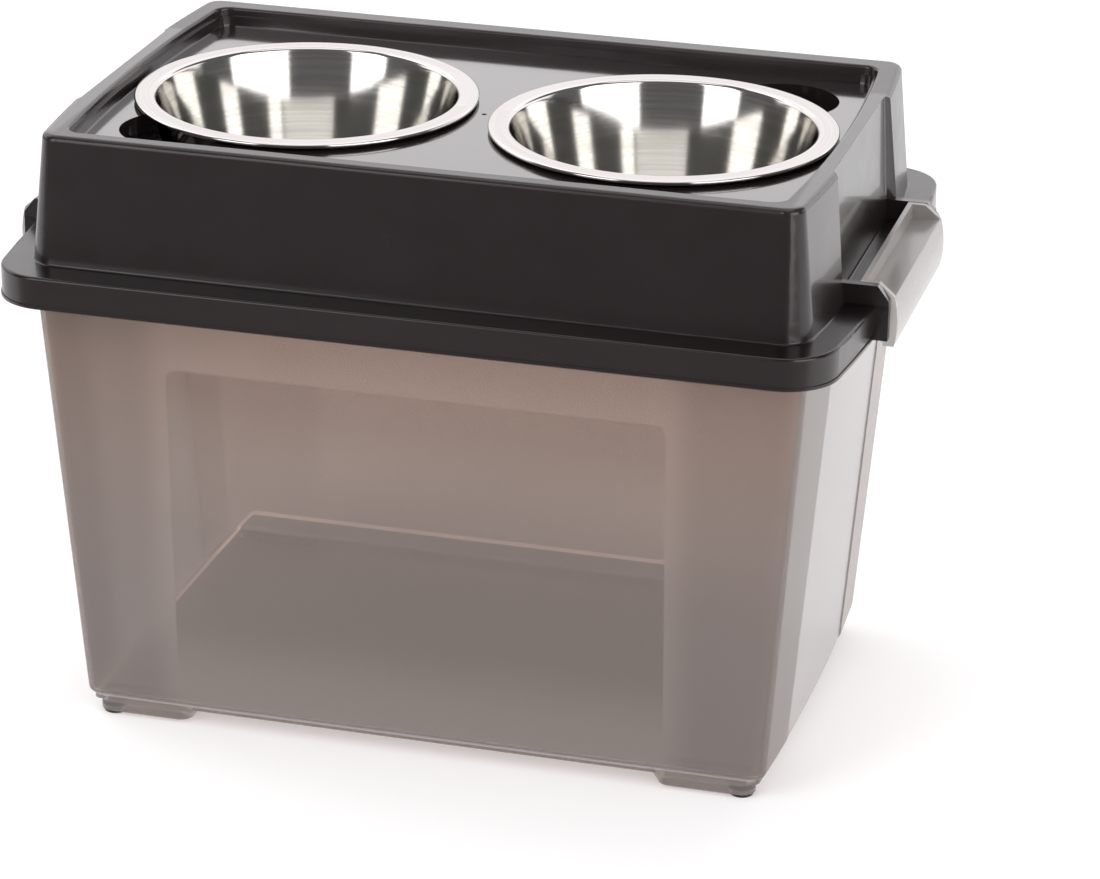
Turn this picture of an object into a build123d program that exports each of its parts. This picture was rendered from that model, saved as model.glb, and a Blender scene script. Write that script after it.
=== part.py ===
from build123d import *
import os
from dataclasses import dataclass
from math import cos, radians, sin, sqrt, tan

# Elevated pet feeder: a tapered storage tub, a lid moulding that holds two bowls in closed wells,
# a soft gasket, two swing latches on the short sides, and four rubber pads under the tub.
# Origin on the floor under the middle of the feeder, +X along the length, +Y to the back, +Z up.
# Lengths in millimetres, angles in degrees.

# Heights
total_height = 382.0            # floor to the top of the lid's rim
hood_height = 78.5              # flange land to the top of the rim
skirt_height = 19.6             # flange land to the hanging lower edge
deck_drop = 11.0                # rim to the deck between the bowls
ledge_drop = 5.0                # rim to the narrow ledge inside it
base_ring_height = 10.3         # floor to the underside of the tub's base ring
base_ring_depth = 3.0
skid_drop = 7.7                 # base ring to the underside of the skids

# Flange and skirt of the lid
flange_half_width = 263.9
flange_half_depth = 181.5
flange_side_radius = 1293.0     # bow of the short sides
flange_corner_radius = 33.0
flange_edge_radius = 1.8
bead_height = 1.8
bead_depth = 0.6

# Hood of the lid
hood_inset_x = 26.4             # flange edge to the rim, across the middle of the bow
hood_inset_y = 30.2
hood_side_radius = 1350.0
hood_corner_radius = 11.0
hood_draft = 5.4
hood_edge_radius = 3.5
hood_crease_radius = 1.2

# Recess in each short side of the hood, above the latch
recess_end_gap = 0.4            # past each end of the latch
recess_depth_top = 5.2
recess_depth_land = 8.2
recess_end_angle = 55.0         # end walls open outwards by this much from the recess face
recess_corner_radius = 3.0

# Rim, ledge and deck
rim_width_side = 13.6
rim_width_front = 12.0
rim_width_back = 15.8
rim_corner_radius = 10.0
rim_edge_radius = 1.8
rim_draft = 6.0
ledge_width = 2.0
gate_mark_radius = 1.6
gate_mark_depth = 0.5

# Lid moulding
lid_wall = 2.5
skirt_wall = 2.4
rib_thickness = 1.8
rib_depth = 24.0

# Bowls
bowl_side_margin = 5.2          # inner edge of the lid's rim to a bowl's rim
bowl_middle_gap = 13.8          # between the two bowls' rims
bowl_offset_y = -1.5
bowl_rim_width = 12.9           # from where the wall would meet the rim with no lip radius
bowl_rim_rise = 4.2             # deck to the top of the bowl's rim
bowl_bead_radius = 1.3
bowl_lip_radius = 3.0
bowl_depth = 70.0
bowl_taper = 16.9               # the wall leans out by this much over the bowl's depth
bowl_corner_radius = 15.0
bowl_wall = 0.9

# Wells for the bowls, their seat collars and the finger scoops
well_gap = 1.3
well_mouth_gap = 4.6            # bowl's mouth to the well's mouth
well_floor_gap = 1.6
well_corner_radius = 12.0
collar_thickness = 2.4
seat_clearance = 0.3
scoop_radius = 34.5
scoop_depth = 22.0
scoop_corner_radius = 9.0
scoop_inset_x = 50.8            # outer side of a bowl's rim to the middle of its scoop
scoop_inset_y = 22.4

# Tub
tub_inset_x = 44.2              # flange edge to the tub's side at the underside of its shell
tub_inset_y = 44.3
tub_side_radius = 2300.0
tub_corner_radius = 9.0
tub_side_draft = 4.38
tub_front_draft = 3.2
tub_edge_radius = 5.5
tub_wall = 2.6
base_ring_inset = 3.5
base_ring_width = 6.0
side_panel_half_length = 80.0
side_panel_depth = 0.9
lip_gap = 1.0                   # tub lip to the inside of the lid's skirt
lip_wall = 2.5

# Skids and rubber pads
pad_inset_x = 18.9              # tub's side at its underside to the middle of a pad
pad_inset_y = 12.2
pad_radius = 7.25
pad_seat_depth = 2.4
pad_seat_gap = 0.1
pad_edge_radius = 1.0
skid_half_width = 8.5
skid_length = 43.3              # pad centre to the centre of the skid's rounded inner end
skid_run_out = 7.0              # slope at the inner end

# Gasket between lid and tub
gasket_width = 6.0
gasket_height = 2.0
gasket_edge_radius = 0.7
gasket_inset = 9.0              # tub lip edge to the outside of the gasket
channel_gap = 0.2
channel_wall = 1.4
channel_depth = 1.1

# Latches and the brackets that carry them
latch_half_length = 74.6
latch_end_wall = 3.6
latch_stand_off = 9.55          # flange edge to the outermost point of the latch
latch_inset = 13.5              # flange edge to the inner face of the latch
latch_top_rise = 12.8           # flange land to the top of the latch
latch_inner_wall = 3.0
latch_top_width = 11.2
latch_chamfer = 7.9
latch_panel_wall = 2.6
latch_panel_over = 6.4          # lower edge of the skirt to the lower edge of the latch
latch_panel_radius = 60.0
latch_panel_bow_shift = 1.0     # widest point below the middle of the panel
latch_floor_wall = 1.8
latch_floor_dip = 1.6           # pocket floor below the panel's upper edge, at the inner wall
latch_skirt_gap = 1.7           # skirt to the end walls' lower part
latch_run_clearance = 0.4
knuckle_middle_angle = 15.0
snap_angle = 4.0                # the latch turns this much past rest as it snaps shut
pivot_inset = 3.1               # inner face of the latch to the pivot
pivot_rise = 7.0                # flange land to the pivot
trunnion_radius = 2.3
trunnion_length = 3.0
trunnion_clearance = 0.08
hook_half_length = 44.0
hook_clearance = 0.3
hook_thickness = 2.8
hook_notch_gap = 3.0
hook_notch_height = 6.5
bracket_gap = 0.6
bracket_thickness = 6.0
bracket_rise = 13.0             # flange land to the top of the bracket
bracket_stand_off = 5.1         # flange edge to the outer face of the bracket
bracket_chamfer_x = 7.0
bracket_chamfer_z = 9.0
bracket_over = 1.0              # lower edge of the skirt to the foot of the bracket

# Sizes worked out from the flange
hood_half_width = flange_half_width - hood_inset_x
hood_half_depth = flange_half_depth - hood_inset_y
rim_inner_half_width = hood_half_width - rim_width_side
rim_inner_front = hood_half_depth - rim_width_front
rim_inner_back = hood_half_depth - rim_width_back
tub_half_width = flange_half_width - tub_inset_x
tub_half_depth = flange_half_depth - tub_inset_y
pad_x = tub_half_width - pad_inset_x
pad_y = tub_half_depth - pad_inset_y
latch_reach = flange_half_width + latch_stand_off
latch_inner_x = flange_half_width - latch_inset
latch_top_edge_x = latch_inner_x + latch_top_width
pivot_x = latch_inner_x + pivot_inset
bracket_reach = flange_half_width + bracket_stand_off
recess_half_length = latch_half_length + recess_end_gap

# Levels worked out from the heights
land_z = total_height - hood_height
skirt_z = land_z - skirt_height
deck_z = total_height - deck_drop
ledge_z = total_height - ledge_drop
land_under_z = land_z - lid_wall
lip_top_z = land_under_z - gasket_height - seat_clearance
tub_under_z = base_ring_height + base_ring_depth
tub_floor_z = tub_under_z + tub_wall
skid_z = base_ring_height - skid_drop
cut_over = 20.0                 # how far cutting bodies run past the faces that they cut
least_radius = 1.0              # smallest corner left on an outline that is moved in
level_tolerance = 0.01          # edges this near to a height count as lying at it


@dataclass(frozen=True)
class Plan:
    """Plan outline with straight front and back edges, bowed sides and rounded corners."""

    half_width: float
    front: float
    back: float
    side_radius: float
    corner_radius: float

    def inset(self, distance):
        """The same outline moved in by a distance all round."""
        return Plan(
            self.half_width - distance,
            self.front - distance,
            self.back - distance,
            self.side_radius - distance,
            max(self.corner_radius - distance, least_radius),
        )

    def side_x(self, y):
        """Half width of the bowed side at a distance y from the middle."""
        return self.half_width - self.side_radius + sqrt(self.side_radius**2 - y**2)

    def face(self, z):
        """The outline as a face at height z."""
        front_x = self.side_x(self.front)
        back_x = self.side_x(self.back)
        front_edge = Line((-front_x, -self.front), (front_x, -self.front))
        right_side = ThreePointArc((front_x, -self.front), (self.half_width, 0), (back_x, self.back))
        back_edge = Line((back_x, self.back), (-back_x, self.back))
        left_side = ThreePointArc((-back_x, self.back), (-self.half_width, 0), (-front_x, -self.front))
        outline = make_face(front_edge + right_side + back_edge + left_side)
        return Pos(0, 0, z) * fillet(outline.vertices(), self.corner_radius)


def block(plan, z_low, z_high):
    """Upright block over a plan outline."""
    return extrude(plan.face(z_low), z_high - z_low)


def tapered_block(plan_low, z_low, plan_high, z_high):
    """Block whose outline changes evenly from one height to another."""
    return loft([plan_low.face(z_low), plan_high.face(z_high)], ruled=True)


def turned(points, rounded=()):
    """Solid turned about the Z axis from (radius, z) points, with the listed corners rounded."""
    profile = make_face(Polyline(*points, close=True))
    for (x, z), radius in rounded:
        profile = fillet(profile.vertices().sort_by_distance((x, z, 0))[0], radius)
    return revolve(Plane.XZ * profile, Axis.Z)


def side_prism(profile, y_low, y_high):
    """Solid with an (x, z) section that runs from one y to another."""
    section = Plane((0, y_high, 0), x_dir=(1, 0, 0), z_dir=(0, -1, 0)) * profile
    return extrude(section, y_high - y_low)


def both_sides(solid):
    """A body and its mirror image on the left of the feeder."""
    return solid + mirror(solid, Plane.YZ)


def edges_at(solid, z):
    """The edges of a body that lie at height z."""
    return solid.edges().filter_by_position(Axis.Z, z - level_tolerance, z + level_tolerance)


def edges_along(solid, plan, z, reach=1.0):
    """The edges of a body at height z that lie along a plan outline."""
    outline = plan.face(z).face().outer_wire()
    level = edges_at(solid, z)
    return ShapeList([edge for edge in level if outline.distance_to(edge.position_at(0.5)) < reach])


# Plan outlines that more than one piece follows
flange_plan = Plan(
    flange_half_width - bead_depth,
    flange_half_depth - bead_depth,
    flange_half_depth - bead_depth,
    flange_side_radius,
    flange_corner_radius,
)
skirt_inner_plan = flange_plan.inset(skirt_wall)
lip_plan = skirt_inner_plan.inset(lip_gap)
skirt_edge_x = flange_plan.half_width
gasket_outer_plan = lip_plan.inset(gasket_inset)
gasket_inner_plan = gasket_outer_plan.inset(gasket_width)
rim_plan = Plan(hood_half_width, hood_half_depth, hood_half_depth, hood_side_radius, hood_corner_radius)


def hood_plan(z, inset=0.0):
    """Outline of the hood at height z: it widens downwards by its draft."""
    return rim_plan.inset(inset - (total_height - z) * tan(radians(hood_draft)))


def tub_plan(z, inset=0.0):
    """Outline of the tub at height z: it widens upwards, more on the short sides."""
    rise = z - tub_under_z
    grow_x = rise * tan(radians(tub_side_draft))
    grow_y = rise * tan(radians(tub_front_draft))
    return Plan(
        tub_half_width + grow_x - inset,
        tub_half_depth + grow_y - inset,
        tub_half_depth + grow_y - inset,
        tub_side_radius - inset,
        max(tub_corner_radius - inset, least_radius),
    )


def export(solid, node):
    """Write one node, as a plain solid, to the parts folder."""
    solid.label = node
    export_step(solid, f"parts/{node}.step")
    print(node, round(solid.volume), len(solid.solids()))


# Bowls -----------------------------------------------------------------------------------------

bowl_top_z = deck_z + bowl_rim_rise
bowl_floor_z = bowl_top_z - bowl_depth
bowl_rim_radius = (rim_inner_half_width - bowl_side_margin - bowl_middle_gap / 2) / 2
bowl_centre_x = bowl_rim_radius + bowl_middle_gap / 2
bowl_centres = [(-bowl_centre_x, bowl_offset_y), (bowl_centre_x, bowl_offset_y)]
bowl_mouth_radius = bowl_rim_radius - bowl_rim_width
bowl_floor_radius = bowl_mouth_radius - bowl_taper
bowl_bead_centre_radius = bowl_rim_radius - bowl_bead_radius


def bowl_wall_radius(z, outset=0.0):
    """Radius of the bowl's straight wall at height z, or of a wall outset from it."""
    lean = bowl_taper / bowl_depth
    return bowl_floor_radius + (z - bowl_floor_z) * lean + outset * sqrt(1 + lean**2)


def make_bowl():
    """Spun sheet bowl about its own axis: tapered wall, flat floor, wide flat rim, rolled edge."""
    under_z = bowl_floor_z - bowl_wall
    rim_under_z = bowl_top_z - bowl_wall
    floor_corner = (bowl_floor_radius, bowl_floor_z)
    lip_corner = (bowl_mouth_radius, bowl_top_z)
    lip_under_corner = (bowl_wall_radius(rim_under_z, bowl_wall), rim_under_z)
    floor_under_corner = (bowl_wall_radius(under_z, bowl_wall), under_z)
    sheet = turned(
        [
            (0, bowl_floor_z),
            floor_corner,
            lip_corner,
            (bowl_bead_centre_radius, bowl_top_z),
            (bowl_bead_centre_radius, rim_under_z),
            lip_under_corner,
            floor_under_corner,
            (0, under_z),
        ],
        [
            (floor_corner, bowl_corner_radius),
            (lip_corner, bowl_lip_radius),
            (lip_under_corner, bowl_lip_radius - bowl_wall),
            (floor_under_corner, bowl_corner_radius + bowl_wall),
        ],
    )
    bead = Pos(0, 0, bowl_top_z - bowl_bead_radius) * Torus(bowl_bead_centre_radius, bowl_bead_radius)
    return sheet + bead


bowl = make_bowl()
for node, centre in zip(("bowl_left", "bowl_right"), bowl_centres):
    export(Pos(centre[0], centre[1], 0) * bowl, node)


# Lid -------------------------------------------------------------------------------------------

rim_inner_plan = Plan(
    rim_inner_half_width, rim_inner_front, rim_inner_back, hood_side_radius, rim_corner_radius
)


def rim_inner(z, outset=0.0):
    """Inner outline of the rim at height z, down to the ledge."""
    return rim_inner_plan.inset((total_height - z) * tan(radians(rim_draft)) - outset)


def deck_outline(z, outset=0.0):
    """Inner outline below the ledge: the ledge runs along the sides and the back only."""
    plan = rim_inner(z, outset)
    return Plan(
        plan.half_width - ledge_width,
        plan.front,
        plan.back - ledge_width,
        plan.side_radius,
        plan.corner_radius,
    )


def recess_body(outset=0.0):
    """Body that cuts the right-hand recess out of the hood; outset makes it larger all round."""
    spread = tan(radians(recess_end_angle))
    half_length = recess_half_length + outset * (1 / cos(radians(recess_end_angle)) - spread)
    run = cut_over + recess_depth_land
    face_x_land = hood_plan(land_z).half_width - recess_depth_land - outset
    face_x_top = hood_plan(total_height).half_width - recess_depth_top - outset
    slope = (face_x_top - face_x_land) / hood_height

    def section(z):
        face_x = face_x_land + slope * (z - land_z)
        outline = Polyline(
            (face_x, -half_length),
            (face_x + run, -half_length - run * spread),
            (face_x + run, half_length + run * spread),
            (face_x, half_length),
            close=True,
        )
        face = make_face(outline)
        inner_corners = face.vertices().sort_by(Axis.X)[:2]
        return Pos(0, 0, z) * fillet(inner_corners, recess_corner_radius)

    return loft([section(land_z - cut_over), section(total_height + cut_over)], ruled=True)


def make_hood_shell():
    """Hood, flange and skirt as one thin-walled moulding, open below."""
    hood = tapered_block(hood_plan(land_under_z), land_under_z, rim_plan, total_height)
    hood = fillet(edges_along(hood, rim_plan, total_height), hood_edge_radius)
    hood -= both_sides(recess_body())
    flange = block(flange_plan, skirt_z, land_z)
    flange = fillet(edges_along(flange, flange_plan, land_z), flange_edge_radius)
    bead = block(flange_plan.inset(-bead_depth), skirt_z, skirt_z + bead_height)
    body = hood + flange + bead
    flange_edges = edges_along(body, flange_plan, land_z, hood_inset_x / 2)
    body = fillet(edges_at(body, land_z) - flange_edges, hood_crease_radius)
    hood_cavity = tapered_block(
        hood_plan(land_under_z - cut_over, lid_wall),
        land_under_z - cut_over,
        hood_plan(total_height - lid_wall, lid_wall),
        total_height - lid_wall,
    ) - both_sides(recess_body(lid_wall))
    skirt_cavity = block(skirt_inner_plan, skirt_z - cut_over, land_under_z)
    return body - hood_cavity - skirt_cavity


well_mouth_radius = bowl_mouth_radius + well_mouth_gap
well_floor_radius = bowl_floor_radius + bowl_wall + well_gap
well_floor_z = bowl_floor_z - bowl_wall - well_floor_gap
collar_top_z = bowl_top_z - bowl_wall - seat_clearance
scoop_x = bowl_centre_x + bowl_rim_radius - scoop_inset_x
scoop_y = bowl_rim_radius - scoop_inset_y
scoop_centres = [(-scoop_x, -scoop_y), (scoop_x, scoop_y)]


def well_body(outset=0.0):
    """Space inside a well, about the bowl's axis; outset gives the outside of its wall."""
    floor_z = well_floor_z - outset
    floor_radius = well_floor_radius + outset
    return turned(
        [(0, floor_z), (floor_radius, floor_z), (well_mouth_radius + outset, deck_z), (0, deck_z)],
        [((floor_radius, floor_z), well_corner_radius + outset)],
    )


def scoop_body(outset=0.0, top_z=deck_z):
    """Space inside a finger scoop, about its own axis."""
    floor_z = deck_z - scoop_depth - outset
    radius = scoop_radius + outset
    return turned(
        [(0, floor_z), (radius, floor_z), (radius, top_z), (0, top_z)],
        [((radius, floor_z), scoop_corner_radius + outset)],
    )


def placed(solid, centres):
    """Copies of a body at each (x, y) centre."""
    copies = [Pos(x, y, 0) * solid for x, y in centres]
    return copies[0] + copies[1:]


def make_pan(outset, top_z):
    """Deck pocket, wells and scoops: their space, or the outside of their walls with an outset."""
    floor_z = deck_z - outset
    shelf_z = ledge_z - outset
    pan = tapered_block(rim_inner(shelf_z, outset), shelf_z, rim_inner(top_z, outset), top_z)
    pan += tapered_block(deck_outline(floor_z, outset), floor_z, deck_outline(ledge_z, outset), ledge_z)
    pan += placed(well_body(outset), bowl_centres)
    return pan + placed(scoop_body(outset), scoop_centres)


def make_collar():
    """Ring round a well's mouth that the bowl's rim sits on."""
    return turned(
        [
            (well_mouth_radius, deck_z - lid_wall / 2),
            (well_mouth_radius + collar_thickness, deck_z - lid_wall / 2),
            (well_mouth_radius + collar_thickness, collar_top_z),
            (well_mouth_radius, collar_top_z),
        ]
    )


def plan_ring(plan, width, z_low, z_high):
    """Ring that follows a plan outline on its inside."""
    return block(plan, z_low, z_high) - block(plan.inset(width), z_low, z_high)


bracket_y = latch_half_length + bracket_gap
pivot_z = land_z + pivot_rise
hook_notch_half_length = hook_half_length + hook_notch_gap


def make_bracket():
    """Upright wall that carries one trunnion of the right-hand latch, at the back end."""
    root_x = hood_plan(land_z).half_width - recess_depth_land - lid_wall / 2
    middle_y = bracket_y + bracket_thickness / 2
    skirt_x = skirt_inner_plan.side_x(middle_y) + skirt_wall / 2
    top_z = land_z + bracket_rise
    foot_z = skirt_z - bracket_over
    profile = make_face(
        Polyline(
            (root_x, land_z - lid_wall / 2),
            (root_x, top_z),
            (bracket_reach - bracket_chamfer_x, top_z),
            (bracket_reach, top_z - bracket_chamfer_z),
            (bracket_reach, foot_z),
            (skirt_x, foot_z),
            (skirt_x, land_z - lid_wall / 2),
            close=True,
        )
    )
    wall = side_prism(profile, bracket_y, bracket_y + bracket_thickness)
    bore_radius = trunnion_radius + trunnion_clearance
    bore = Cylinder(bore_radius, 2 * trunnion_length, rotation=(90, 0, 0))
    return wall - Pos(pivot_x, bracket_y, pivot_z) * bore


def four_ways(solid):
    """A body at the back right, with its mirror images at the other three corners."""
    return both_sides(solid + mirror(solid, Plane.XZ))


def make_lid():
    """The whole lid moulding."""
    lid = make_hood_shell()
    notch = Box(2 * (skirt_wall + flange_edge_radius), 2 * hook_notch_half_length, 2 * hook_notch_height)
    lid -= both_sides(Pos(flange_half_width, 0, skirt_z) * notch)
    rib = Box(rib_thickness, 2 * hood_half_depth, rib_depth)
    rib_z = deck_z - lid_wall / 2 - rib_depth / 2
    lid += (Pos(0, 0, rib_z) * rib) & block(hood_plan(deck_z, lid_wall / 2), land_z, deck_z)
    lid += make_pan(lid_wall, total_height - lid_wall / 2)
    lid -= make_pan(0.0, total_height)
    lid = fillet(edges_along(lid, rim_inner_plan, total_height), rim_edge_radius)
    collars = placed(make_collar(), bowl_centres)
    lid += collars - placed(scoop_body(0.0, total_height), scoop_centres)
    lid -= Pos(0, 0, deck_z) * Cylinder(gate_mark_radius, 2 * gate_mark_depth)
    lid += four_ways(make_bracket())
    channel_outer = gasket_outer_plan.inset(-channel_gap - channel_wall)
    channel_inner = gasket_inner_plan.inset(channel_gap)
    for plan in (channel_outer, channel_inner):
        lid += plan_ring(plan, channel_wall, land_under_z - channel_depth, land_under_z + channel_depth)
    return lid


lid = make_lid()
export(lid, "lid")


# Gasket ----------------------------------------------------------------------------------------


def make_gasket():
    """Soft ring in the channel under the lid's land."""
    ring = plan_ring(gasket_outer_plan, gasket_width, land_under_z - gasket_height, land_under_z)
    return fillet(edges_at(ring, land_under_z - gasket_height), gasket_edge_radius)


export(make_gasket(), "gasket")


# Latches ---------------------------------------------------------------------------------------

latch_top_z = land_z + latch_top_rise
latch_lip_z = latch_top_z - latch_chamfer
latch_foot_z = skirt_z - latch_panel_over
latch_pocket_x = latch_inner_x + latch_inner_wall
panel_middle_z = (latch_lip_z + latch_foot_z) / 2 - latch_panel_bow_shift
knuckle_radius = pivot_rise - latch_run_clearance


def panel_x(z, inset=0.0):
    """Outer face of the latch's bowed panel at height z, or a face inset from it."""
    radius = latch_panel_radius - inset
    return latch_reach - latch_panel_radius + sqrt(radius**2 - (z - panel_middle_z) ** 2)


def floor_under_z(x):
    """Underside of the latch's pocket floor: it meets the land flat once the latch has snapped."""
    return pivot_z - knuckle_radius + (x - pivot_x) * tan(radians(snap_angle))


def panel_arc(inset, top_z):
    """Arc down a face of the bowed panel, from top_z to the latch's foot."""
    return ThreePointArc(
        (panel_x(top_z, inset), top_z),
        (latch_reach - inset, panel_middle_z),
        (panel_x(latch_foot_z, inset), latch_foot_z),
    )


def latch_profile():
    """Section of a latch through one of its end walls."""
    knuckle_z = pivot_z - sqrt(knuckle_radius**2 - pivot_inset**2)
    knuckle_middle = (
        pivot_x - knuckle_radius * sin(radians(knuckle_middle_angle)),
        pivot_z - knuckle_radius * cos(radians(knuckle_middle_angle)),
    )
    end_x = skirt_edge_x + latch_skirt_gap
    outline = Polyline(
        (latch_inner_x, knuckle_z),
        (latch_inner_x, latch_top_z),
        (latch_top_edge_x, latch_top_z),
        (panel_x(latch_lip_z), latch_lip_z),
    )
    outline += panel_arc(0.0, latch_lip_z)
    outline += Polyline(
        (panel_x(latch_foot_z), latch_foot_z),
        (end_x, latch_foot_z),
        (end_x, floor_under_z(end_x)),
        (pivot_x, floor_under_z(pivot_x)),
    )
    outline += ThreePointArc((pivot_x, floor_under_z(pivot_x)), knuckle_middle, (latch_inner_x, knuckle_z))
    return make_face(outline)


def pocket_profile():
    """Section of the finger pocket: its floor rises to the upper edge of the panel."""
    far_x = latch_reach + cut_over
    return make_face(
        Polyline(
            (latch_pocket_x, latch_lip_z - latch_floor_dip),
            (panel_x(latch_lip_z), latch_lip_z),
            (far_x, latch_lip_z),
            (far_x, latch_top_z + cut_over),
            (latch_pocket_x, latch_top_z + cut_over),
            close=True,
        )
    )


def core_profile():
    """Section of the space under the pocket floor, behind the panel."""
    top_z = latch_lip_z - latch_floor_wall
    low_z = latch_foot_z - cut_over
    outline = panel_arc(latch_panel_wall, top_z)
    outline += Polyline(
        (panel_x(latch_foot_z, latch_panel_wall), latch_foot_z),
        (panel_x(latch_foot_z, latch_panel_wall), low_z),
        (latch_pocket_x, low_z),
        (latch_pocket_x, top_z - latch_floor_dip),
        (panel_x(top_z, latch_panel_wall), top_z),
    )
    return make_face(outline)


def hook_profile():
    """Section of the catch that reaches in below the tub's lip, on arcs about the pivot."""
    lip_x = lip_plan.half_width
    inner_radius = sqrt((lip_x - pivot_x) ** 2 + (pivot_z - skirt_z) ** 2) + hook_clearance
    outer_radius = inner_radius + hook_thickness
    tip_x = lip_x + hook_clearance
    root_x = latch_reach - latch_panel_wall / 2

    def on_arc(radius, x):
        return (x, pivot_z - sqrt(radius**2 - (x - pivot_x) ** 2))

    middle_x = (tip_x + root_x) / 2
    outline = ThreePointArc(
        on_arc(inner_radius, tip_x), on_arc(inner_radius, middle_x), on_arc(inner_radius, root_x)
    )
    outline += Line(on_arc(inner_radius, root_x), on_arc(outer_radius, root_x))
    outline += ThreePointArc(
        on_arc(outer_radius, root_x), on_arc(outer_radius, middle_x), on_arc(outer_radius, tip_x)
    )
    outline += Line(on_arc(outer_radius, tip_x), on_arc(inner_radius, tip_x))
    return make_face(outline)


def make_latch():
    """Right-hand latch: inner wall, finger pocket, bowed outer panel, hook and two trunnions."""
    pocket_half_length = latch_half_length - latch_end_wall
    latch = side_prism(latch_profile(), -latch_half_length, latch_half_length)
    for hollow in (pocket_profile(), core_profile()):
        latch -= side_prism(hollow, -pocket_half_length, pocket_half_length)
    latch += side_prism(hook_profile(), -hook_half_length, hook_half_length)
    trunnion = Cylinder(trunnion_radius, 2 * (latch_half_length + trunnion_length), rotation=(90, 0, 0))
    gap_between = Box(4 * trunnion_radius, 2 * pocket_half_length, 4 * trunnion_radius)
    return latch + Pos(pivot_x, 0, pivot_z) * (trunnion - gap_between)


latch = make_latch()
export(mirror(latch, Plane.YZ), "latch_left")
export(latch, "latch_right")


# Tub -------------------------------------------------------------------------------------------


def tub_block(inset, z_low, z_high):
    """Tapered block inside the tub's outline, with its bottom edge rounded."""
    low_plan = tub_plan(z_low, inset)
    solid = tapered_block(low_plan, z_low, tub_plan(z_high, inset), z_high)
    radius = max(tub_edge_radius - inset, least_radius)
    return fillet(edges_along(solid, low_plan, z_low), radius)


def beyond_panel(inset, half_length, z_low, z_high):
    """Space outside the tub's outline across the flat middle of its short sides."""
    slab = Box(2 * (flange_half_width + cut_over), 2 * half_length, z_high - z_low + 2 * cut_over)
    return Pos(0, 0, (z_low + z_high) / 2) * slab - tub_block(inset, z_low, z_high)


def skid_body(centre_distance, half_width, z):
    """Rounded bar section that runs in from a pad, at the front right corner."""
    slot = SlotCenterToCenter(centre_distance, 2 * half_width)
    return Pos(pad_x - centre_distance / 2, -pad_y, z) * slot


def make_skid():
    """Skid under the front right corner, with the seat of its pad."""
    skid = loft(
        [
            skid_body(skid_length, skid_half_width, skid_z),
            skid_body(skid_length + skid_run_out, skid_half_width, tub_under_z),
        ],
        ruled=True,
    )
    seat = Cylinder(pad_radius + pad_seat_gap, 2 * pad_seat_depth)
    return skid - Pos(pad_x, -pad_y, skid_z) * seat


def make_trough():
    """Hollow inside the skid, open to the inside of the tub."""
    floor_z = skid_z + pad_seat_depth + tub_wall
    section = skid_body(skid_length, skid_half_width - tub_wall, floor_z)
    return extrude(section, tub_floor_z + tub_wall - floor_z)


def make_tub():
    """The whole tub moulding: shell, lip, base ring and skids."""
    shell = tub_block(0.0, tub_under_z, lip_top_z)
    ring_plan = tub_plan(tub_under_z, base_ring_inset)
    ring = plan_ring(ring_plan, base_ring_width, base_ring_height, tub_floor_z - tub_wall / 2)
    lip = block(lip_plan, skirt_z, lip_top_z)
    lip -= block(lip_plan.inset(lip_wall), skirt_z - cut_over, lip_top_z - lip_wall)
    panel_length = side_panel_half_length
    shell -= beyond_panel(side_panel_depth, panel_length, tub_under_z, lip_top_z)
    cavity = tub_block(tub_wall, tub_floor_z, lip_top_z + cut_over)
    cavity -= beyond_panel(
        tub_wall + side_panel_depth, panel_length + tub_wall, tub_floor_z, lip_top_z + cut_over
    )
    tub = shell + ring + lip + four_ways(make_skid())
    return tub - cavity - four_ways(make_trough())


export(make_tub(), "tub")


# Rubber pads -----------------------------------------------------------------------------------

pad = Cylinder(pad_radius, skid_z + pad_seat_depth, align=(Align.CENTER, Align.CENTER, Align.MIN))
pad = fillet(pad.edges().filter_by(GeomType.CIRCLE).sort_by(Axis.Z)[0], pad_edge_radius)
for end, y in (("front", -pad_y), ("rear", pad_y)):
    for side, x in (("left", -pad_x), ("right", pad_x)):
        export(Pos(x, y, 0) * pad, f"foot_pad_{end}_{side}")
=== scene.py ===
"""Elevated pet feeder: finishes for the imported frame, spun steel bowls, studio and camera."""

import math

import bmesh
import bpy
from mathutils import Matrix, Vector


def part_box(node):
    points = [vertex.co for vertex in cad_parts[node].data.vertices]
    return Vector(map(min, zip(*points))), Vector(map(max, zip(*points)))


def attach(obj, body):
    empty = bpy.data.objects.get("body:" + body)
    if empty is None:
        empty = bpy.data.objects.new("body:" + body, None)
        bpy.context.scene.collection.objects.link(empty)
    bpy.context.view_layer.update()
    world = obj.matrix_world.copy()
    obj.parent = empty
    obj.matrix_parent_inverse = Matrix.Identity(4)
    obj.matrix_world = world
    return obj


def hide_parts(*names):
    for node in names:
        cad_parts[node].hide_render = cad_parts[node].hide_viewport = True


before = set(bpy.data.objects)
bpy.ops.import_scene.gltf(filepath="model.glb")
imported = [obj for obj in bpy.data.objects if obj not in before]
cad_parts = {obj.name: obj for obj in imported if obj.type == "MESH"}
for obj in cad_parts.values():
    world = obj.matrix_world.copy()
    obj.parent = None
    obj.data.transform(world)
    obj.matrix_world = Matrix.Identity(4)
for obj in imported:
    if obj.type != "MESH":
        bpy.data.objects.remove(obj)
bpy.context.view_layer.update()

MM = 0.001


# Node helpers ----------------------------------------------------------------------------------

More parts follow.
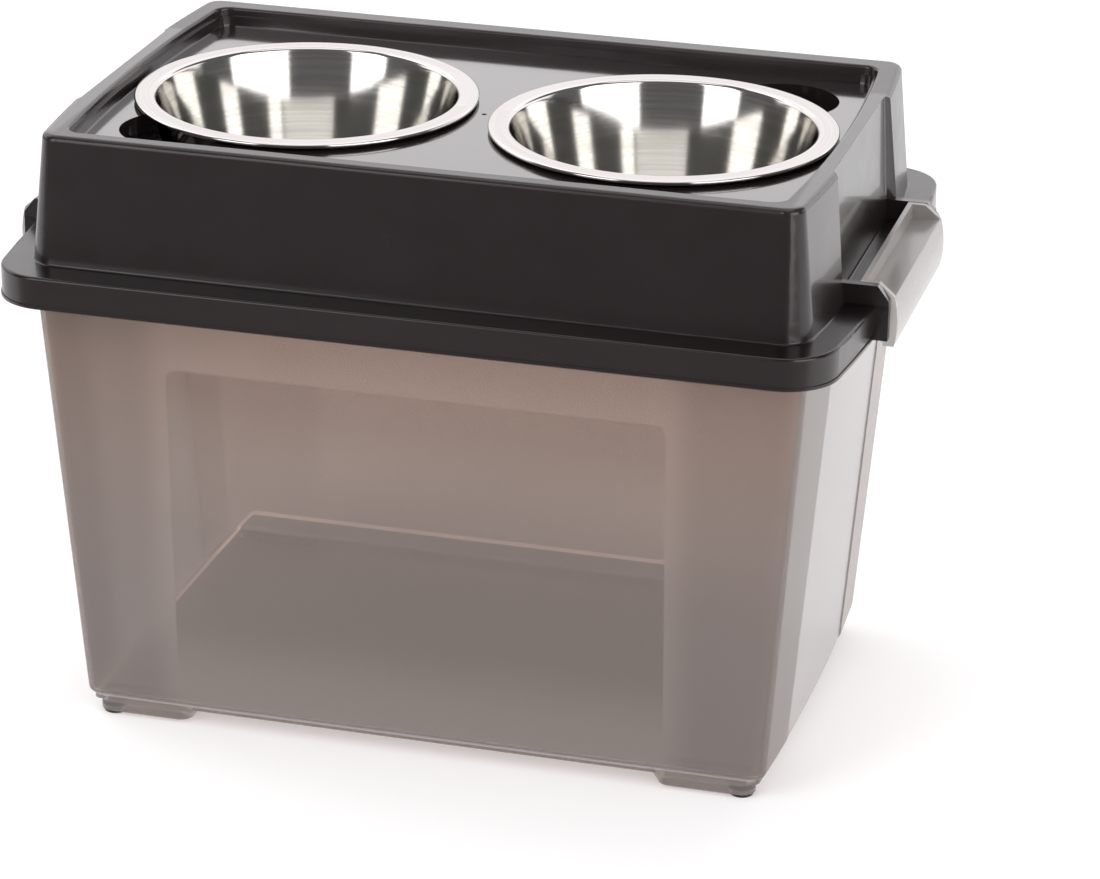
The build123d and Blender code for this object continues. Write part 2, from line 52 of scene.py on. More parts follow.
class Nodes:
    """A node tree, with short calls for the nodes that the finishes and the world share."""

    def __init__(self, tree):
        self.tree = tree
        self.tree.nodes.clear()

    def add(self, kind, **settings):
        node = self.tree.nodes.new(kind)
        for key, value in settings.items():
            setattr(node, key, value)
        return node

    def feed(self, value, socket):
        """Links another node's socket, or sets a number or an opaque colour."""
        if isinstance(value, bpy.types.NodeSocket):
            self.tree.links.new(value, socket)
        elif isinstance(value, tuple):
            socket.default_value = (*value, 1.0)
        else:
            socket.default_value = value

    def maths(self, operation, *values):
        node = self.add("ShaderNodeMath", operation=operation)
        for value, socket in zip(values, node.inputs):
            self.feed(value, socket)
        return node.outputs[0]

    def product(self, first, *others):
        for other in others:
            first = self.maths("MULTIPLY", first, other)
        return first

    def ramp(self, value, low, high, out_low=0.0, out_high=1.0):
        """Smooth step from out_low at low to out_high at high."""
        node = self.add("ShaderNodeMapRange", interpolation_type="SMOOTHSTEP")
        self.feed(value, node.inputs["Value"])
        sockets = ("From Min", "From Max", "To Min", "To Max")
        for name, number in zip(sockets, (low, high, out_low, out_high)):
            node.inputs[name].default_value = number
        return node.outputs["Result"]

    def fall(self, value, low, high):
        """Smooth step from 1 at low to 0 at high."""
        return self.ramp(value, low, high, 1.0, 0.0)

    def within(self, value, limit, soft):
        """1 below limit and 0 above it, blended over soft on each side."""
        return self.fall(value, limit - soft, limit + soft)

    def scaled(self, value, out_low, out_high):
        """A 0 to 1 value spread over out_low to out_high."""
        node = self.add("ShaderNodeMapRange")
        self.feed(value, node.inputs["Value"])
        node.inputs["To Min"].default_value = out_low
        node.inputs["To Max"].default_value = out_high
        return node.outputs["Result"]

    def mixed(self, share, first, second):
        """Colour mix; first and second are colours or sockets."""
        node = self.add("ShaderNodeMix", data_type="RGBA")
        self.feed(share, node.inputs["Factor"])
        for name, value in (("A", first), ("B", second)):
            self.feed(value, next(s for s in node.inputs if s.name == name and s.type == "RGBA"))
        return next(s for s in node.outputs if s.type == "RGBA")

    def split(self, vector):
        node = self.add("ShaderNodeSeparateXYZ")
        self.feed(vector, node.inputs[0])
        return node.outputs["X"], node.outputs["Y"], node.outputs["Z"]

    def radius(self, first, second):
        return self.maths("SQRT", self.maths(
            "ADD", self.product(first, first), self.product(second, second)))


class Finish(Nodes):
    """A material with a Principled shader, driven by the place on the object."""

    def __init__(self, name):
        self.material = bpy.data.materials.new(name)
        self.material.use_nodes = True
        super().__init__(self.material.node_tree)
        self.output = self.add("ShaderNodeOutputMaterial")
        self.surface = self.add("ShaderNodeBsdfPrincipled")
        self.link(self.surface, self.output, "Surface")
        self.place = self.add("ShaderNodeTexCoord").outputs["Object"]

    def link(self, source, target, in_name):
        """Links a node's first output to one of target's inputs, by name or number."""
        self.tree.links.new(source.outputs[0], target.inputs[in_name])

    def set(self, **values):
        """Plain values for the Principled shader's sockets; an underscore stands for a space."""
        for key, value in values.items():
            self.surface.inputs[key.replace("_", " ")].default_value = value

    def drive(self, in_name, value):
        self.tree.links.new(value, self.surface.inputs[in_name])

    def noise(self, scale, detail=2.0, roughness=0.5, where=None):
        node = self.add("ShaderNodeTexNoise")
        node.inputs["Scale"].default_value = scale
        node.inputs["Detail"].default_value = detail
        node.inputs["Roughness"].default_value = roughness
        self.tree.links.new(where or self.place, node.inputs["Vector"])
        return node.outputs["Fac"]

    def bump(self, height, distance):
        node = self.add("ShaderNodeBump")
        node.inputs["Strength"].default_value = 1.0
        node.inputs["Distance"].default_value = distance
        self.tree.links.new(height, node.inputs["Height"])
        self.drive("Normal", node.outputs["Normal"])

    def let_lamps_through(self, tint):
        """Lamp light passes the plastic straight, tinted, so what lies behind it is lit."""
        clear = self.add("ShaderNodeBsdfTransparent")
        clear.inputs["Color"].default_value = (*tint, 1.0)
        ray = self.add("ShaderNodeLightPath")
        mix = self.add("ShaderNodeMixShader")
        self.feed(ray.outputs["Is Shadow Ray"], mix.inputs[0])
        self.link(self.surface, mix, 1)
        self.link(clear, mix, 2)
        self.link(mix, self.output, "Surface")


# Tub -------------------------------------------------------------------------------------------

# Clear panes in the front and back walls. They turn hazy towards their feet.
PANE_HALF_WIDTH = 154.0 * MM
PANE_TOP = 242.0 * MM
PANE_CORNER = 7.0 * MM
PANE_EDGE = 0.8 * MM
PANE_FADE = (20.0 * MM, 80.0 * MM)
TUB_MIDDLE = (-10.0 * MM, 10.0 * MM)
PANE_BEHIND = 0.35

# Pale panels in the side walls.
SIDE_WALL_FROM = (212.0 * MM, 213.0 * MM)
SIDE_PANEL_HALF = 80.0 * MM
SIDE_PANEL_EDGE = 0.7 * MM

# The inside of the floor, and the rounded corner that leads up to the back wall. The floor takes
# painted shade, and a thin band round it a painted highlight.
FLOOR_HALF_X = 208.0 * MM
FLOOR_HIGHLIGHT_WIDTH = 3.0 * MM
FLOOR_TOP = 17.0 * MM
FLOOR_EDGE = 0.5 * MM
FLOOR_TURN = 0.9
FLOOR_CLIMB = (17.0 * MM, 19.0 * MM)
REAR_CORNER_TOP = 26.5 * MM
REAR_CORNER = (110.0 * MM, 125.0 * MM)

# Inner faces of the drafted walls, where they would meet the ground.
INNER_HALF_Y = 135.2 * MM
INNER_EDGE = 0.3 * MM
INNER_FROM = (12.0 * MM, 13.0 * MM)
INNER_REAR_FROM = (90.0 * MM, 100.0 * MM)
FRONT_SLOPE = math.tan(math.radians(3.2))
SIDE_SLOPE = math.tan(math.radians(4.38))

# Where painted light and shade change the tint: lighter and warmer with height; painted shade above
# the base ring and below the lip, ahead of the rear corners and out towards the corner strips; painted
# light on the rear strips.
PAINTED_LIGHT_HEIGHTS = (60.0 * MM, 280.0 * MM)
BASE_RING = (10.0 * MM, 14.0 * MM)
BELOW_LIP = (280.0 * MM, 286.0 * MM)
REAR_CORNERS = (60.0 * MM, 80.0 * MM)
SHADED_WALL_ENDS = (150.0 * MM, 175.0 * MM)
CORNER_STRIPS = (209.0 * MM, 213.0 * MM)

# Frosted tint: darker low down and lighter, warmer high up, as painted shade and painted light.
FROST_SHADED_LOW = (0.48, 0.435, 0.415)
FROST_LIT_HIGH = (0.57, 0.455, 0.395)
# Painted shade on the walls' outer ends, towards the tub's corners.
END_SHADE_LOW = (0.40, 0.355, 0.34)
END_SHADE_HIGH = (0.46, 0.365, 0.32)
# Corner strips: painted light at the rear, painted shade at the front.
STRIP_REAR_LIT = (0.53, 0.48, 0.455)
STRIP_FRONT_SHADED = (0.34, 0.295, 0.275)
PANE_TINT = (0.80, 0.74, 0.70)
PANEL_TINT = (0.68, 0.665, 0.66)
# Painted highlight along the floor's edge where it meets the walls.
FLOOR_EDGE_HIGHLIGHT = (1.0, 0.88, 0.82)
# Painted shade on the floor, darker and bluer as the ground under the tub lies in shadow, darker still
# up the rear corner.
FLOOR_SHADE_TINT = (0.48, 0.465, 0.475)
FLOOR_CORNER_SHADE_TINT = (0.44, 0.425, 0.43)
TUB_LAMP_TINT = (0.80, 0.74, 0.71)

PANE_PALENESS = 0.14
FROST_ROUGHNESS, PANE_ROUGHNESS = 0.262, 0.012
FROST_CLEARNESS, PANE_CLEARNESS = 0.76, 0.93
PANEL_HAZE = 0.14
FLOOR_HAZE = 0.35
FROST_GRAIN = 0.0025 * MM
PANE_GRAIN_SHARE = 0.05


def pane_mask(f, side_x, y, z):
    """1 in the panes, whose upper corners are rounded."""
    past_x = f.maths("MAXIMUM", f.maths("SUBTRACT", side_x, PANE_HALF_WIDTH - PANE_CORNER), 0.0)
    past_z = f.maths("MAXIMUM", f.maths("SUBTRACT", z, PANE_TOP - PANE_CORNER), 0.0)
    inside = f.within(f.radius(past_x, past_z), PANE_CORNER, PANE_EDGE)
    behind = f.ramp(y, *TUB_MIDDLE, 1.0, PANE_BEHIND)
    return f.product(inside, f.ramp(z, *PANE_FADE), behind)


def floor_mask(f, side_x, y, z, inner, half_x, rear_top):
    """1 on the inside of the tub's floor and up the back wall to the rounded corner's top."""
    top = f.ramp(y, *REAR_CORNER, FLOOR_TOP, rear_top)
    below = f.within(f.maths("SUBTRACT", z, top), 0.0, FLOOR_EDGE)
    climb = f.maths("MAXIMUM", f.maths("SUBTRACT", z, FLOOR_TOP), 0.0)
    turned = f.maths("ADD", side_x, f.product(climb, FLOOR_TURN))
    across = f.within(turned, half_x, FLOOR_EDGE)
    return f.product(inner, f.product(below, across))


def smoke_plastic():
    """Tinted tub plastic: clear in the front and back panes, frosted round them, paler sides, with
    painted light and shade in the tint and a painted highlight round the floor.
    """
    f = Finish("smoke_plastic")
    x, y, z = f.split(f.place)
    side_x, side_y = f.maths("ABSOLUTE", x), f.maths("ABSOLUTE", y)

    pane = pane_mask(f, side_x, y, z)
    panel = f.product(f.ramp(side_x, *SIDE_WALL_FROM),
                      f.within(side_y, SIDE_PANEL_HALF, SIDE_PANEL_EDGE))
    shell = f.product(f.ramp(z, *BASE_RING), f.fall(z, *BELOW_LIP))
    ahead = f.fall(y, *REAR_CORNERS)
    # Painted shade: the walls' outer ends are darker.
    shaded_ends = f.product(f.ramp(side_x, *SHADED_WALL_ENDS), f.product(shell, ahead))
    # Painted light and shade on the corner strips: lighter at the rear, darker at the front.
    drafted_x = f.maths("SUBTRACT", side_x, f.product(z, SIDE_SLOPE))
    strip_light_and_shade = f.product(f.ramp(drafted_x, *CORNER_STRIPS), shell)
    drafted_y = f.maths("SUBTRACT", side_y, f.product(z, FRONT_SLOPE))
    inner = f.product(f.within(drafted_y, INNER_HALF_Y, INNER_EDGE), f.maths(
        "MAXIMUM", f.ramp(z, *INNER_FROM), f.ramp(y, *INNER_REAR_FROM)))
    # A band just round the floor, for the painted highlight along its edge.
    floor_edge_highlight = floor_mask(f, side_x, y, z, inner, FLOOR_HALF_X + FLOOR_HIGHLIGHT_WIDTH, REAR_CORNER_TOP + FLOOR_HIGHLIGHT_WIDTH)
    floor = floor_mask(f, side_x, y, z, inner, FLOOR_HALF_X, REAR_CORNER_TOP)

    # Painted light: the tint grows lighter and warmer with height.
    high = f.ramp(z, *PAINTED_LIGHT_HEIGHTS)
    tint = f.mixed(high, FROST_SHADED_LOW, FROST_LIT_HIGH)
    tint = f.mixed(shaded_ends, tint, f.mixed(high, END_SHADE_LOW, END_SHADE_HIGH))
    tint = f.mixed(strip_light_and_shade, tint, f.mixed(ahead, STRIP_REAR_LIT, STRIP_FRONT_SHADED))
    tint = f.mixed(f.scaled(pane, 0.0, PANE_PALENESS), tint, PANE_TINT)
    tint = f.mixed(panel, tint, PANEL_TINT)
    tint = f.mixed(floor_edge_highlight, tint, FLOOR_EDGE_HIGHLIGHT)
    # Painted shade on the floor and up its rear corner.
    tint = f.mixed(floor, tint, f.mixed(f.ramp(z, *FLOOR_CLIMB), FLOOR_SHADE_TINT, FLOOR_CORNER_SHADE_TINT))
    f.drive("Base Color", tint)

    f.drive("Roughness", f.scaled(pane, FROST_ROUGHNESS, PANE_ROUGHNESS))
    clearness = f.scaled(pane, FROST_CLEARNESS, PANE_CLEARNESS)
    clearness = f.maths("SUBTRACT", clearness, f.product(panel, PANEL_HAZE))
    f.drive("Transmission Weight", f.maths("SUBTRACT", clearness, f.product(floor, FLOOR_HAZE)))
    f.set(IOR=1.45)
    f.bump(f.product(f.noise(900.0, 3.0), f.scaled(pane, 1.0, PANE_GRAIN_SHARE)), FROST_GRAIN)
    f.let_lamps_through(TUB_LAMP_TINT)
    return f.material


# Lid -------------------------------------------------------------------------------------------

# The mirror-like deck with its scoops, inside the rim's walls.
DECK_HALF_X = 227.0 * MM
DECK_HALF_Y = 142.0 * MM
DECK_EDGE = 2.0 * MM
DECK_TOP = 371.0 * MM
DECK_WALLS = (DECK_TOP + 0.4 * MM, DECK_TOP + 1.2 * MM)
SCOOP_BOTTOM = (318.0 * MM, 322.0 * MM)

# The flat land round the hood's foot, darker with painted shade under the hood's walls, and the hood's
# glossier sides above it.
LAND_FROM = (301.5 * MM, 303.0 * MM)
LAND_TO = (304.0 * MM, 305.0 * MM)
HOOD_FROM = (303.0 * MM, 306.0 * MM)
HOOD_SIDE_X = (221.0 * MM, 225.0 * MM)
HOOD_SIDE_Y = (140.0 * MM, 147.0 * MM)
HOOD_SIDE_REAR = (76.0 * MM, 84.0 * MM)

BLACK_LOW = (0.0140, 0.0097, 0.0100)
BLACK_HIGH = (0.0190, 0.0136, 0.0140)
# Painted shade on the land at the hood's foot.
LAND_SHADE_TINT = (0.0070, 0.0045, 0.0047)

SATIN_ROUGHNESS = (0.20, 0.30)
DECK_ROUGHNESS_SHARE = 0.5
SATIN_COAT, DECK_COAT, SIDE_COAT = 0.15, 1.0, 0.5
SATIN_GRAIN = 0.012 * MM
DECK_GRAIN_SHARE = 0.05


def black_plastic():
    """Black lid moulding: outer walls with a fine satin grain, a mirror-like deck and scoops."""
    f = Finish("black_plastic")
    x, y, z = f.split(f.place)
    half_x, half_y = f.maths("ABSOLUTE", x), f.maths("ABSOLUTE", y)

    # Painted shade: the land at the hood's foot is darker.
    shaded_land = f.product(f.ramp(z, *LAND_FROM), f.fall(z, *LAND_TO))
    deck = f.product(f.fall(half_x, DECK_HALF_X - DECK_EDGE, DECK_HALF_X),
                     f.fall(half_y, DECK_HALF_Y - DECK_EDGE, DECK_HALF_Y),
                     f.ramp(z, *SCOOP_BOTTOM), f.fall(z, *DECK_WALLS))
    side_y = f.product(f.fall(half_y, *HOOD_SIDE_Y), f.fall(y, *HOOD_SIDE_REAR))
    sides = f.product(f.ramp(half_x, *HOOD_SIDE_X), side_y, f.ramp(z, *HOOD_FROM))

    black = f.mixed(f.noise(14.0, 4.0), BLACK_LOW, BLACK_HIGH)
    f.drive("Base Color", f.mixed(shaded_land, black, LAND_SHADE_TINT))
    satin = f.scaled(f.noise(60.0, 3.0), *SATIN_ROUGHNESS)
    f.drive("Roughness", f.product(satin, f.scaled(deck, 1.0, DECK_ROUGHNESS_SHARE)))
    f.drive("Coat Weight", f.maths(
        "MAXIMUM", f.scaled(deck, SATIN_COAT, DECK_COAT), f.scaled(sides, SATIN_COAT, SIDE_COAT)))
    f.set(IOR=1.5, Coat_Roughness=0.07, Coat_IOR=1.5)
    f.bump(f.product(f.noise(480.0, 2.0), f.scaled(deck, 1.0, DECK_GRAIN_SHARE)), SATIN_GRAIN)
    return f.material


# Steel, latches, pads and gasket ---------------------------------------------------------------

BOWL_CENTRE_X = 112.8 * MM
BOWL_CENTRE_Y = -1.5 * MM
BOWL_RIM_FROM = (371.0 * MM, 373.0 * MM)
RING_STRETCH = 1.6 * MM

WALL_DARK = (0.605, 0.595, 0.565)
WALL_LIGHT = (0.70, 0.69, 0.655)
RIM_DARK = (0.652, 0.632, 0.616)
RIM_LIGHT = (0.70, 0.68, 0.665)

BRUSHED = (0.35, 0.65)
FINE_ROUGHNESS = (0.02, 0.12)
BROAD_ROUGHNESS = (0.0, 0.05)
RING_GRAIN = 0.003 * MM


def polished_steel():
    """Spun stainless steel: fine rings round each bowl's axis."""
    f = Finish("polished_steel")
    x, y, z = f.split(f.place)
    off_x = f.maths("SUBTRACT", f.maths("ABSOLUTE", x), BOWL_CENTRE_X)
    off_y = f.maths("SUBTRACT", y, BOWL_CENTRE_Y)
    turn = f.maths("ARCTAN2", off_y, off_x)
    rings = f.add("ShaderNodeCombineXYZ")
    for value, socket in zip((f.radius(off_x, off_y), f.product(turn, RING_STRETCH), z), rings.inputs):
        f.feed(value, socket)
    fine = f.noise(2600.0, 4.0, 0.6, rings.outputs[0])
    broad = f.noise(420.0, 3.0, 0.5, rings.outputs[0])

    brushed = f.ramp(broad, *BRUSHED)
    wall = f.mixed(brushed, WALL_DARK, WALL_LIGHT)
    rim = f.mixed(brushed, RIM_DARK, RIM_LIGHT)
    f.drive("Base Color", f.mixed(f.ramp(z, *BOWL_RIM_FROM), wall, rim))
    f.drive("Roughness", f.maths(
        "ADD", f.scaled(fine, *FINE_ROUGHNESS), f.scaled(f.noise(30.0), *BROAD_ROUGHNESS)))
    f.set(Metallic=1.0, Specular_Tint=(0.80, 0.79, 0.79, 1.0))
    f.bump(fine, RING_GRAIN)
    return f.material


LATCH_END_FACES = (73.4 * MM, 74.2 * MM)
LATCH_LOW = (0.385, 0.363, 0.343)
LATCH_HIGH = (0.445, 0.423, 0.403)
# Painted highlight on the latch's end faces.
LATCH_END_HIGHLIGHT = (0.80, 0.77, 0.74)
LATCH_LAMP_TINT = (0.86, 0.83, 0.80)
LATCH_ROUGHNESS = (0.20, 0.27)
LATCH_GRAIN = 0.02 * MM


def clear_smoke_plastic():
    """Latch plastic: a paler tint than the tub's, with a painted highlight that makes the end faces
    palest.
    """
    f = Finish("clear_smoke_plastic")
    _, y, _ = f.split(f.place)
    smoke = f.mixed(f.noise(25.0, 3.0), LATCH_LOW, LATCH_HIGH)
    # Painted highlight: the end faces are palest.
    end = f.ramp(f.maths("ABSOLUTE", y), *LATCH_END_FACES)
    f.drive("Base Color", f.mixed(end, smoke, LATCH_END_HIGHLIGHT))
    f.drive("Roughness", f.scaled(f.noise(40.0, 2.0), *LATCH_ROUGHNESS))
    f.set(Transmission_Weight=0.38, IOR=1.46, Coat_Weight=0.25, Coat_Roughness=0.08,
          Specular_IOR_Level=0.4)
    f.bump(f.noise(900.0, 3.0), LATCH_GRAIN)
    f.let_lamps_through(LATCH_LAMP_TINT)
    return f.material


RUBBER_DARK = (0.012, 0.012, 0.013)
RUBBER_LIGHT = (0.024, 0.024, 0.025)
RUBBER_ROUGHNESS = (0.55, 0.75)
RUBBER_GRAIN = 0.05 * MM


def pad_rubber():
    """Matt black rubber with a fine, uneven grain."""
    f = Finish("pad_rubber")
    f.drive("Base Color", f.mixed(f.noise(180.0, 4.0), RUBBER_DARK, RUBBER_LIGHT))
    f.drive("Roughness", f.scaled(f.noise(90.0, 3.0), *RUBBER_ROUGHNESS))
    f.bump(f.noise(1200.0, 3.0), RUBBER_GRAIN)
    return f.material


FOAM_DARK = (0.035, 0.035, 0.037)
FOAM_LIGHT = (0.06, 0.06, 0.062)
FOAM_ROUGHNESS = (0.8, 0.95)
FOAM_GRAIN = 0.1 * MM


def gasket_foam():
    """Dark closed-cell foam."""
    f = Finish("gasket_foam")
    f.drive("Base Color", f.mixed(f.noise(300.0, 4.0), FOAM_DARK, FOAM_LIGHT))
    f.drive("Roughness", f.scaled(f.noise(300.0, 3.0), *FOAM_ROUGHNESS))
    f.bump(f.noise(1100.0, 3.0), FOAM_GRAIN)
    return f.material


finishes = {make.__name__: make() for make in (
    smoke_plastic, black_plastic, polished_steel, clear_smoke_plastic, pad_rubber, gasket_foam)}
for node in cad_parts.values():
    for slot in node.material_slots:
        slot.material = finishes[slot.material.name.split(".")[0]]


# Bowls -----------------------------------------------------------------------------------------

MOUTH_RADIUS = 93.0 * MM
BEAD_RADIUS = 1.3 * MM
LIP_RADIUS = 3.0 * MM
FLOOR_RADIUS = 76.1 * MM
CORNER_RADIUS = 15.0 * MM
STEEL_WALL = 0.9 * MM

# Facets round a bowl, and along the stretches of its profile.
TURNS = 256
RUN_STEPS = 24
CORNER_STEPS = 16
LIP_STEPS = 12
BEAD_STEPS = 24
RIM_STEPS = 8
UNDER_STEPS = 16
ON_AXIS = 1e-9


def arc(centre, radius, start, end, steps):
    """Points of an arc in the radius-height plane; angles in degrees from the outward axis."""
    points = []
    for i in range(steps + 1):
        angle = math.radians(start + (end - start) * i / steps)
        points.append((centre[0] + radius * math.cos(angle), centre[1] + radius * math.sin(angle)))
    return points


def line(start, end, steps):
    """Points along a straight run, without its ends."""
    return [
        (start[0] + (end[0] - start[0]) * i / steps, start[1] + (end[1] - start[1]) * i / steps)
        for i in range(1, steps)
    ]


def bowl_profile(rim_radius, floor_z, top_z):
    """Closed outline of the steel sheet, from the middle of the floor up to the rim and back."""
    draft = math.degrees(math.atan2(MOUTH_RADIUS - FLOOR_RADIUS, top_z - floor_z))
    wall_angle = 90.0 - draft
    inner_corner = (
        FLOOR_RADIUS - CORNER_RADIUS * math.tan(math.radians(wall_angle / 2)),
        floor_z + CORNER_RADIUS,
    )
    slope = math.tan(math.radians(draft))
    lip_centre = (
        FLOOR_RADIUS + (top_z - LIP_RADIUS - floor_z) * slope
        + LIP_RADIUS / math.cos(math.radians(draft)),
        top_z - LIP_RADIUS,
    )
    bead_centre = (rim_radius - BEAD_RADIUS, top_z - BEAD_RADIUS)
    inside = arc(inner_corner, CORNER_RADIUS, -90.0, -draft, CORNER_STEPS)
    lip = arc(lip_centre, LIP_RADIUS, 180.0 - draft, 90.0, LIP_STEPS)
    bead = arc(bead_centre, BEAD_RADIUS, 90.0, -180.0, BEAD_STEPS)
    under_lip = arc(lip_centre, LIP_RADIUS - STEEL_WALL, 90.0, 180.0 - draft, RIM_STEPS)
    under_corner = arc(inner_corner, CORNER_RADIUS + STEEL_WALL, -draft, -90.0, CORNER_STEPS)
    floor = [(0.0, floor_z)] + line((0.0, floor_z), inside[0], RUN_STEPS)
    wall = line(inside[-1], lip[0], RUN_STEPS)
    rim = line(lip[-1], bead[0], RIM_STEPS)
    outside = line(under_lip[-1], under_corner[0], RUN_STEPS)
    under = (0.0, floor_z - STEEL_WALL)
    base = line(under_corner[-1], under, UNDER_STEPS) + [under]
    return floor + inside + wall + lip + rim + bead + under_lip + outside + under_corner + base


def lathe(name, profile, centre):
    """Turns a profile about a vertical axis through centre, smooth shaded."""
    mesh = bpy.data.meshes.new(name)
    build = bmesh.new()
    rings = []
    for radius, height in profile:
        if radius < ON_AXIS:
            rings.append([build.verts.new((centre[0], centre[1], height))] * TURNS)
            continue
        ring = []
        for i in range(TURNS):
            angle = 2 * math.pi * i / TURNS
            ring.append(build.verts.new(
                (centre[0] + radius * math.cos(angle), centre[1] + radius * math.sin(angle), height)))
        rings.append(ring)
    for lower, upper in zip(rings, rings[1:]):
        for i in range(TURNS):
            j = (i + 1) % TURNS
            corners = dict.fromkeys((lower[i], lower[j], upper[j], upper[i]))
            if len(corners) > 2:
                build.faces.new(list(corners)).smooth = True
    bmesh.ops.recalc_face_normals(build, faces=build.faces)
    build.to_mesh(mesh)
    build.free()
    piece = bpy.data.objects.new(name, mesh)
    bpy.context.scene.collection.objects.link(piece)
    return piece


def make_bowl(name, node, body):
    """A lathed steel bowl in the place of a solid one."""
    low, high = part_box(node)
    centre = (low + high) / 2
    rim_radius = (high.x - low.x) / 2
    piece = lathe(name, bowl_profile(rim_radius, low.z + STEEL_WALL, high.z), centre)
    piece.data.materials.append(finishes["polished_steel"])
    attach(piece, body)
    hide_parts(node)


make_bowl("steel_bowl_left", "bowl_left", "left_bowl")
make_bowl("steel_bowl_right", "bowl_right", "right_bowl")


# Studio ----------------------------------------------------------------------------------------

FLOOR_REACH = 3.0
FLOOR_FRONT = 1.5
FLOOR_GREY = (0.80, 0.80, 0.80)
FLOOR_GLOW = 0.28
FLAG_LEVEL = 0.35
FLAG_BEYOND = (-0.6, -0.45)


def pale_floor():
    """White floor that shows pure white where it is open and keeps the feeder's shadow.

    Its front part is darker in reflections, as a flag in front of the feeder would be."""
    f = Finish("pale_floor")
    f.tree.nodes.remove(f.surface)
    diffuse = f.add("ShaderNodeBsdfDiffuse")
    f.feed(FLOOR_GREY, diffuse.inputs["Color"])
    glow = f.add("ShaderNodeEmission")
    ray = f.add("ShaderNodeLightPath")
    seen = f.maths("MAXIMUM", ray.outputs["Is Camera Ray"], ray.outputs["Is Transmission Ray"])
    seen = f.maths("MAXIMUM", seen, ray.outputs["Is Glossy Ray"])
    f.feed(f.product(seen, FLOOR_GLOW), glow.inputs["Strength"])
    both = f.add("ShaderNodeAddShader")
    f.link(diffuse, both, 0)
    f.link(glow, both, 1)
    dark = f.add("ShaderNodeEmission")
    dark.inputs["Strength"].default_value = FLAG_LEVEL
    _, y, _ = f.split(f.place)
    flag = f.add("ShaderNodeMixShader")
    f.feed(f.product(ray.outputs["Is Glossy Ray"], f.fall(y, *FLAG_BEYOND)), flag.inputs[0])
    f.link(both, flag, 1)
    f.link(dark, flag, 2)
    f.link(flag, f.output, "Surface")
    return f.material


def make_floor():
    mesh = bpy.data.meshes.new("studio_floor")
    corners = [
        (-FLOOR_REACH, -FLOOR_FRONT, 0), (FLOOR_REACH, -FLOOR_FRONT, 0),
        (FLOOR_REACH, FLOOR_REACH, 0), (-FLOOR_REACH, FLOOR_REACH, 0),
    ]
    mesh.from_pydata(corners, [], [(0, 1, 2, 3)])
    mesh.materials.append(pale_floor())
    floor = bpy.data.objects.new("studio_floor", mesh)
    bpy.context.scene.collection.objects.link(floor)


WORLD_LEVEL = 0.14
WORLD_WHITE = (1.0, 1.0, 1.0)
WORLD_TINT = (1.0, 0.98, 0.99)


def studio_world():
    """White surroundings for the camera, and soft boxes with dark gaps for gloss and steel.

    Angles are in degrees, and azimuth is measured from -Y towards +X."""
    world = bpy.data.worlds.new("studio")
    bpy.context.scene.world = world
    world.use_nodes = True
    sky = Nodes(world.node_tree)
    x, y, z = sky.split(sky.add("ShaderNodeTexCoord").outputs["Generated"])
    azimuth = sky.maths("DEGREES", sky.maths("ARCTAN2", x, sky.product(y, -1.0)))
    height = sky.maths("DEGREES", sky.maths("ARCSINE", z))

    def between(angle, low, high, soft):
        return sky.product(sky.ramp(angle, low - soft, low + soft), sky.within(angle, high, soft))

    def band(low, high):
        return between(azimuth, low, high, 1.5)

    def storey(low, high, soft=1.5):
        return between(height, low, high, soft)

    # Each box's reach across and up, and its strength.
    boxes = (
        (band(33, 79), storey(-25, 42, 2), 2.6),
        (band(-45, -17), storey(0, 42, 2), 2.6),
        (sky.ramp(azimuth, 104, 112), storey(3, 26), 1.28),
        (sky.fall(azimuth, -84, -76), storey(3, 26), 1.28),
        (sky.ramp(azimuth, 153, 155), storey(25, 60), 1.40),
        (sky.fall(azimuth, -123, -121), storey(25, 60), 1.40),
        (band(-118, -97), storey(25, 60), 2.6),
        (sky.ramp(azimuth, 120, 130), storey(-60, 5), 1.0),
        (sky.ramp(height, 66, 70), 1.0, 1.3),
    )
    level = WORLD_LEVEL
    for across, up, strength in boxes:
        level = sky.maths("ADD", level, sky.product(across, up, strength))

    ray = sky.add("ShaderNodeLightPath")
    seen = sky.maths("MAXIMUM", ray.outputs["Is Camera Ray"], ray.outputs["Is Transmission Ray"])
    either = sky.add("ShaderNodeMix", data_type="FLOAT")
    for value, number in ((seen, 0), (level, 2), (1.0, 3)):
        sky.feed(value, either.inputs[number])
    background = sky.add("ShaderNodeBackground")
    sky.feed(either.outputs[0], background.inputs["Strength"])
    sky.feed(sky.mixed(seen, WORLD_TINT, WORLD_WHITE), background.inputs["Color"])
    output = sky.add("ShaderNodeOutputWorld")
    sky.feed(background.outputs[0], output.inputs["Surface"])


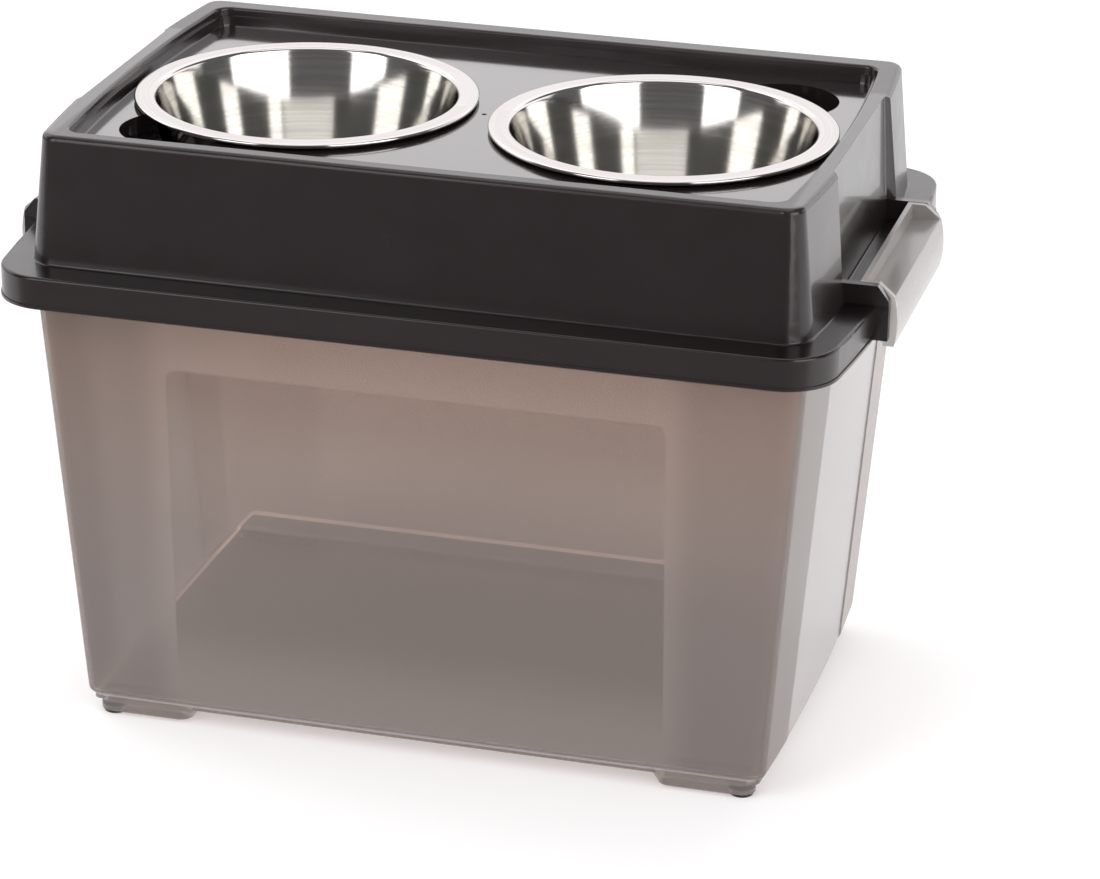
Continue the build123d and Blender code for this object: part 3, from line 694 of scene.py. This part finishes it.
def area_lamp(name, place, aim, size, power):
    """A square lamp that lights the feeder and shows neither in the view nor in reflections."""
    data = bpy.data.lights.new(name, "AREA")
    data.shape = "SQUARE"
    data.size = size
    data.energy = power
    lamp = bpy.data.objects.new(name, data)
    lamp.location = place
    lamp.rotation_euler = (Vector(aim) - Vector(place)).to_track_quat("-Z", "Y").to_euler()
    lamp.visible_camera = False
    lamp.visible_glossy = False
    lamp.visible_transmission = False
    bpy.context.scene.collection.objects.link(lamp)


make_floor()
studio_world()
area_lamp("key_lamp", place=(-1.1, -1.6, 2.2), aim=(0, 0, 0.15), size=1.4, power=22.0)
area_lamp("side_lamp", place=(2.2, -0.3, 1.3), aim=(0, 0, 0.2), size=1.4, power=14.0)


# Camera ----------------------------------------------------------------------------------------

IMAGE_WIDTH = 1100
FOCAL_PIXELS = 4195.55
SENSOR_WIDTH = 36.0
CLIP_END = 50.0

# The solved camera: its place, and its turn, tilt and roll in radians.
CAMERA_PLACE = Vector((0.67371, -2.34461, 1.14730))
CAMERA_TURN = 0.262225
CAMERA_TILT = -0.385254
CAMERA_ROLL = 0.0144458


def make_camera():
    """The camera at the photograph's viewing angle."""
    forward = Vector((
        -math.sin(CAMERA_TURN) * math.cos(CAMERA_TILT),
        math.cos(CAMERA_TURN) * math.cos(CAMERA_TILT),
        math.sin(CAMERA_TILT),
    ))
    level = Vector((math.cos(CAMERA_TURN), math.sin(CAMERA_TURN), 0.0))
    above = level.cross(forward)
    right = math.cos(CAMERA_ROLL) * level + math.sin(CAMERA_ROLL) * above
    up = -math.sin(CAMERA_ROLL) * level + math.cos(CAMERA_ROLL) * above
    data = bpy.data.cameras.new("camera")
    data.sensor_fit = "HORIZONTAL"
    data.sensor_width = SENSOR_WIDTH
    data.lens = FOCAL_PIXELS / IMAGE_WIDTH * SENSOR_WIDTH
    data.clip_end = CLIP_END
    camera = bpy.data.objects.new("camera", data)
    turn = Matrix((right, up, -forward)).transposed()
    camera.matrix_world = Matrix.Translation(CAMERA_PLACE) @ turn.to_4x4()
    bpy.context.scene.collection.objects.link(camera)
    bpy.context.scene.camera = camera


make_camera()
bpy.context.scene.view_settings.view_transform = "Standard"
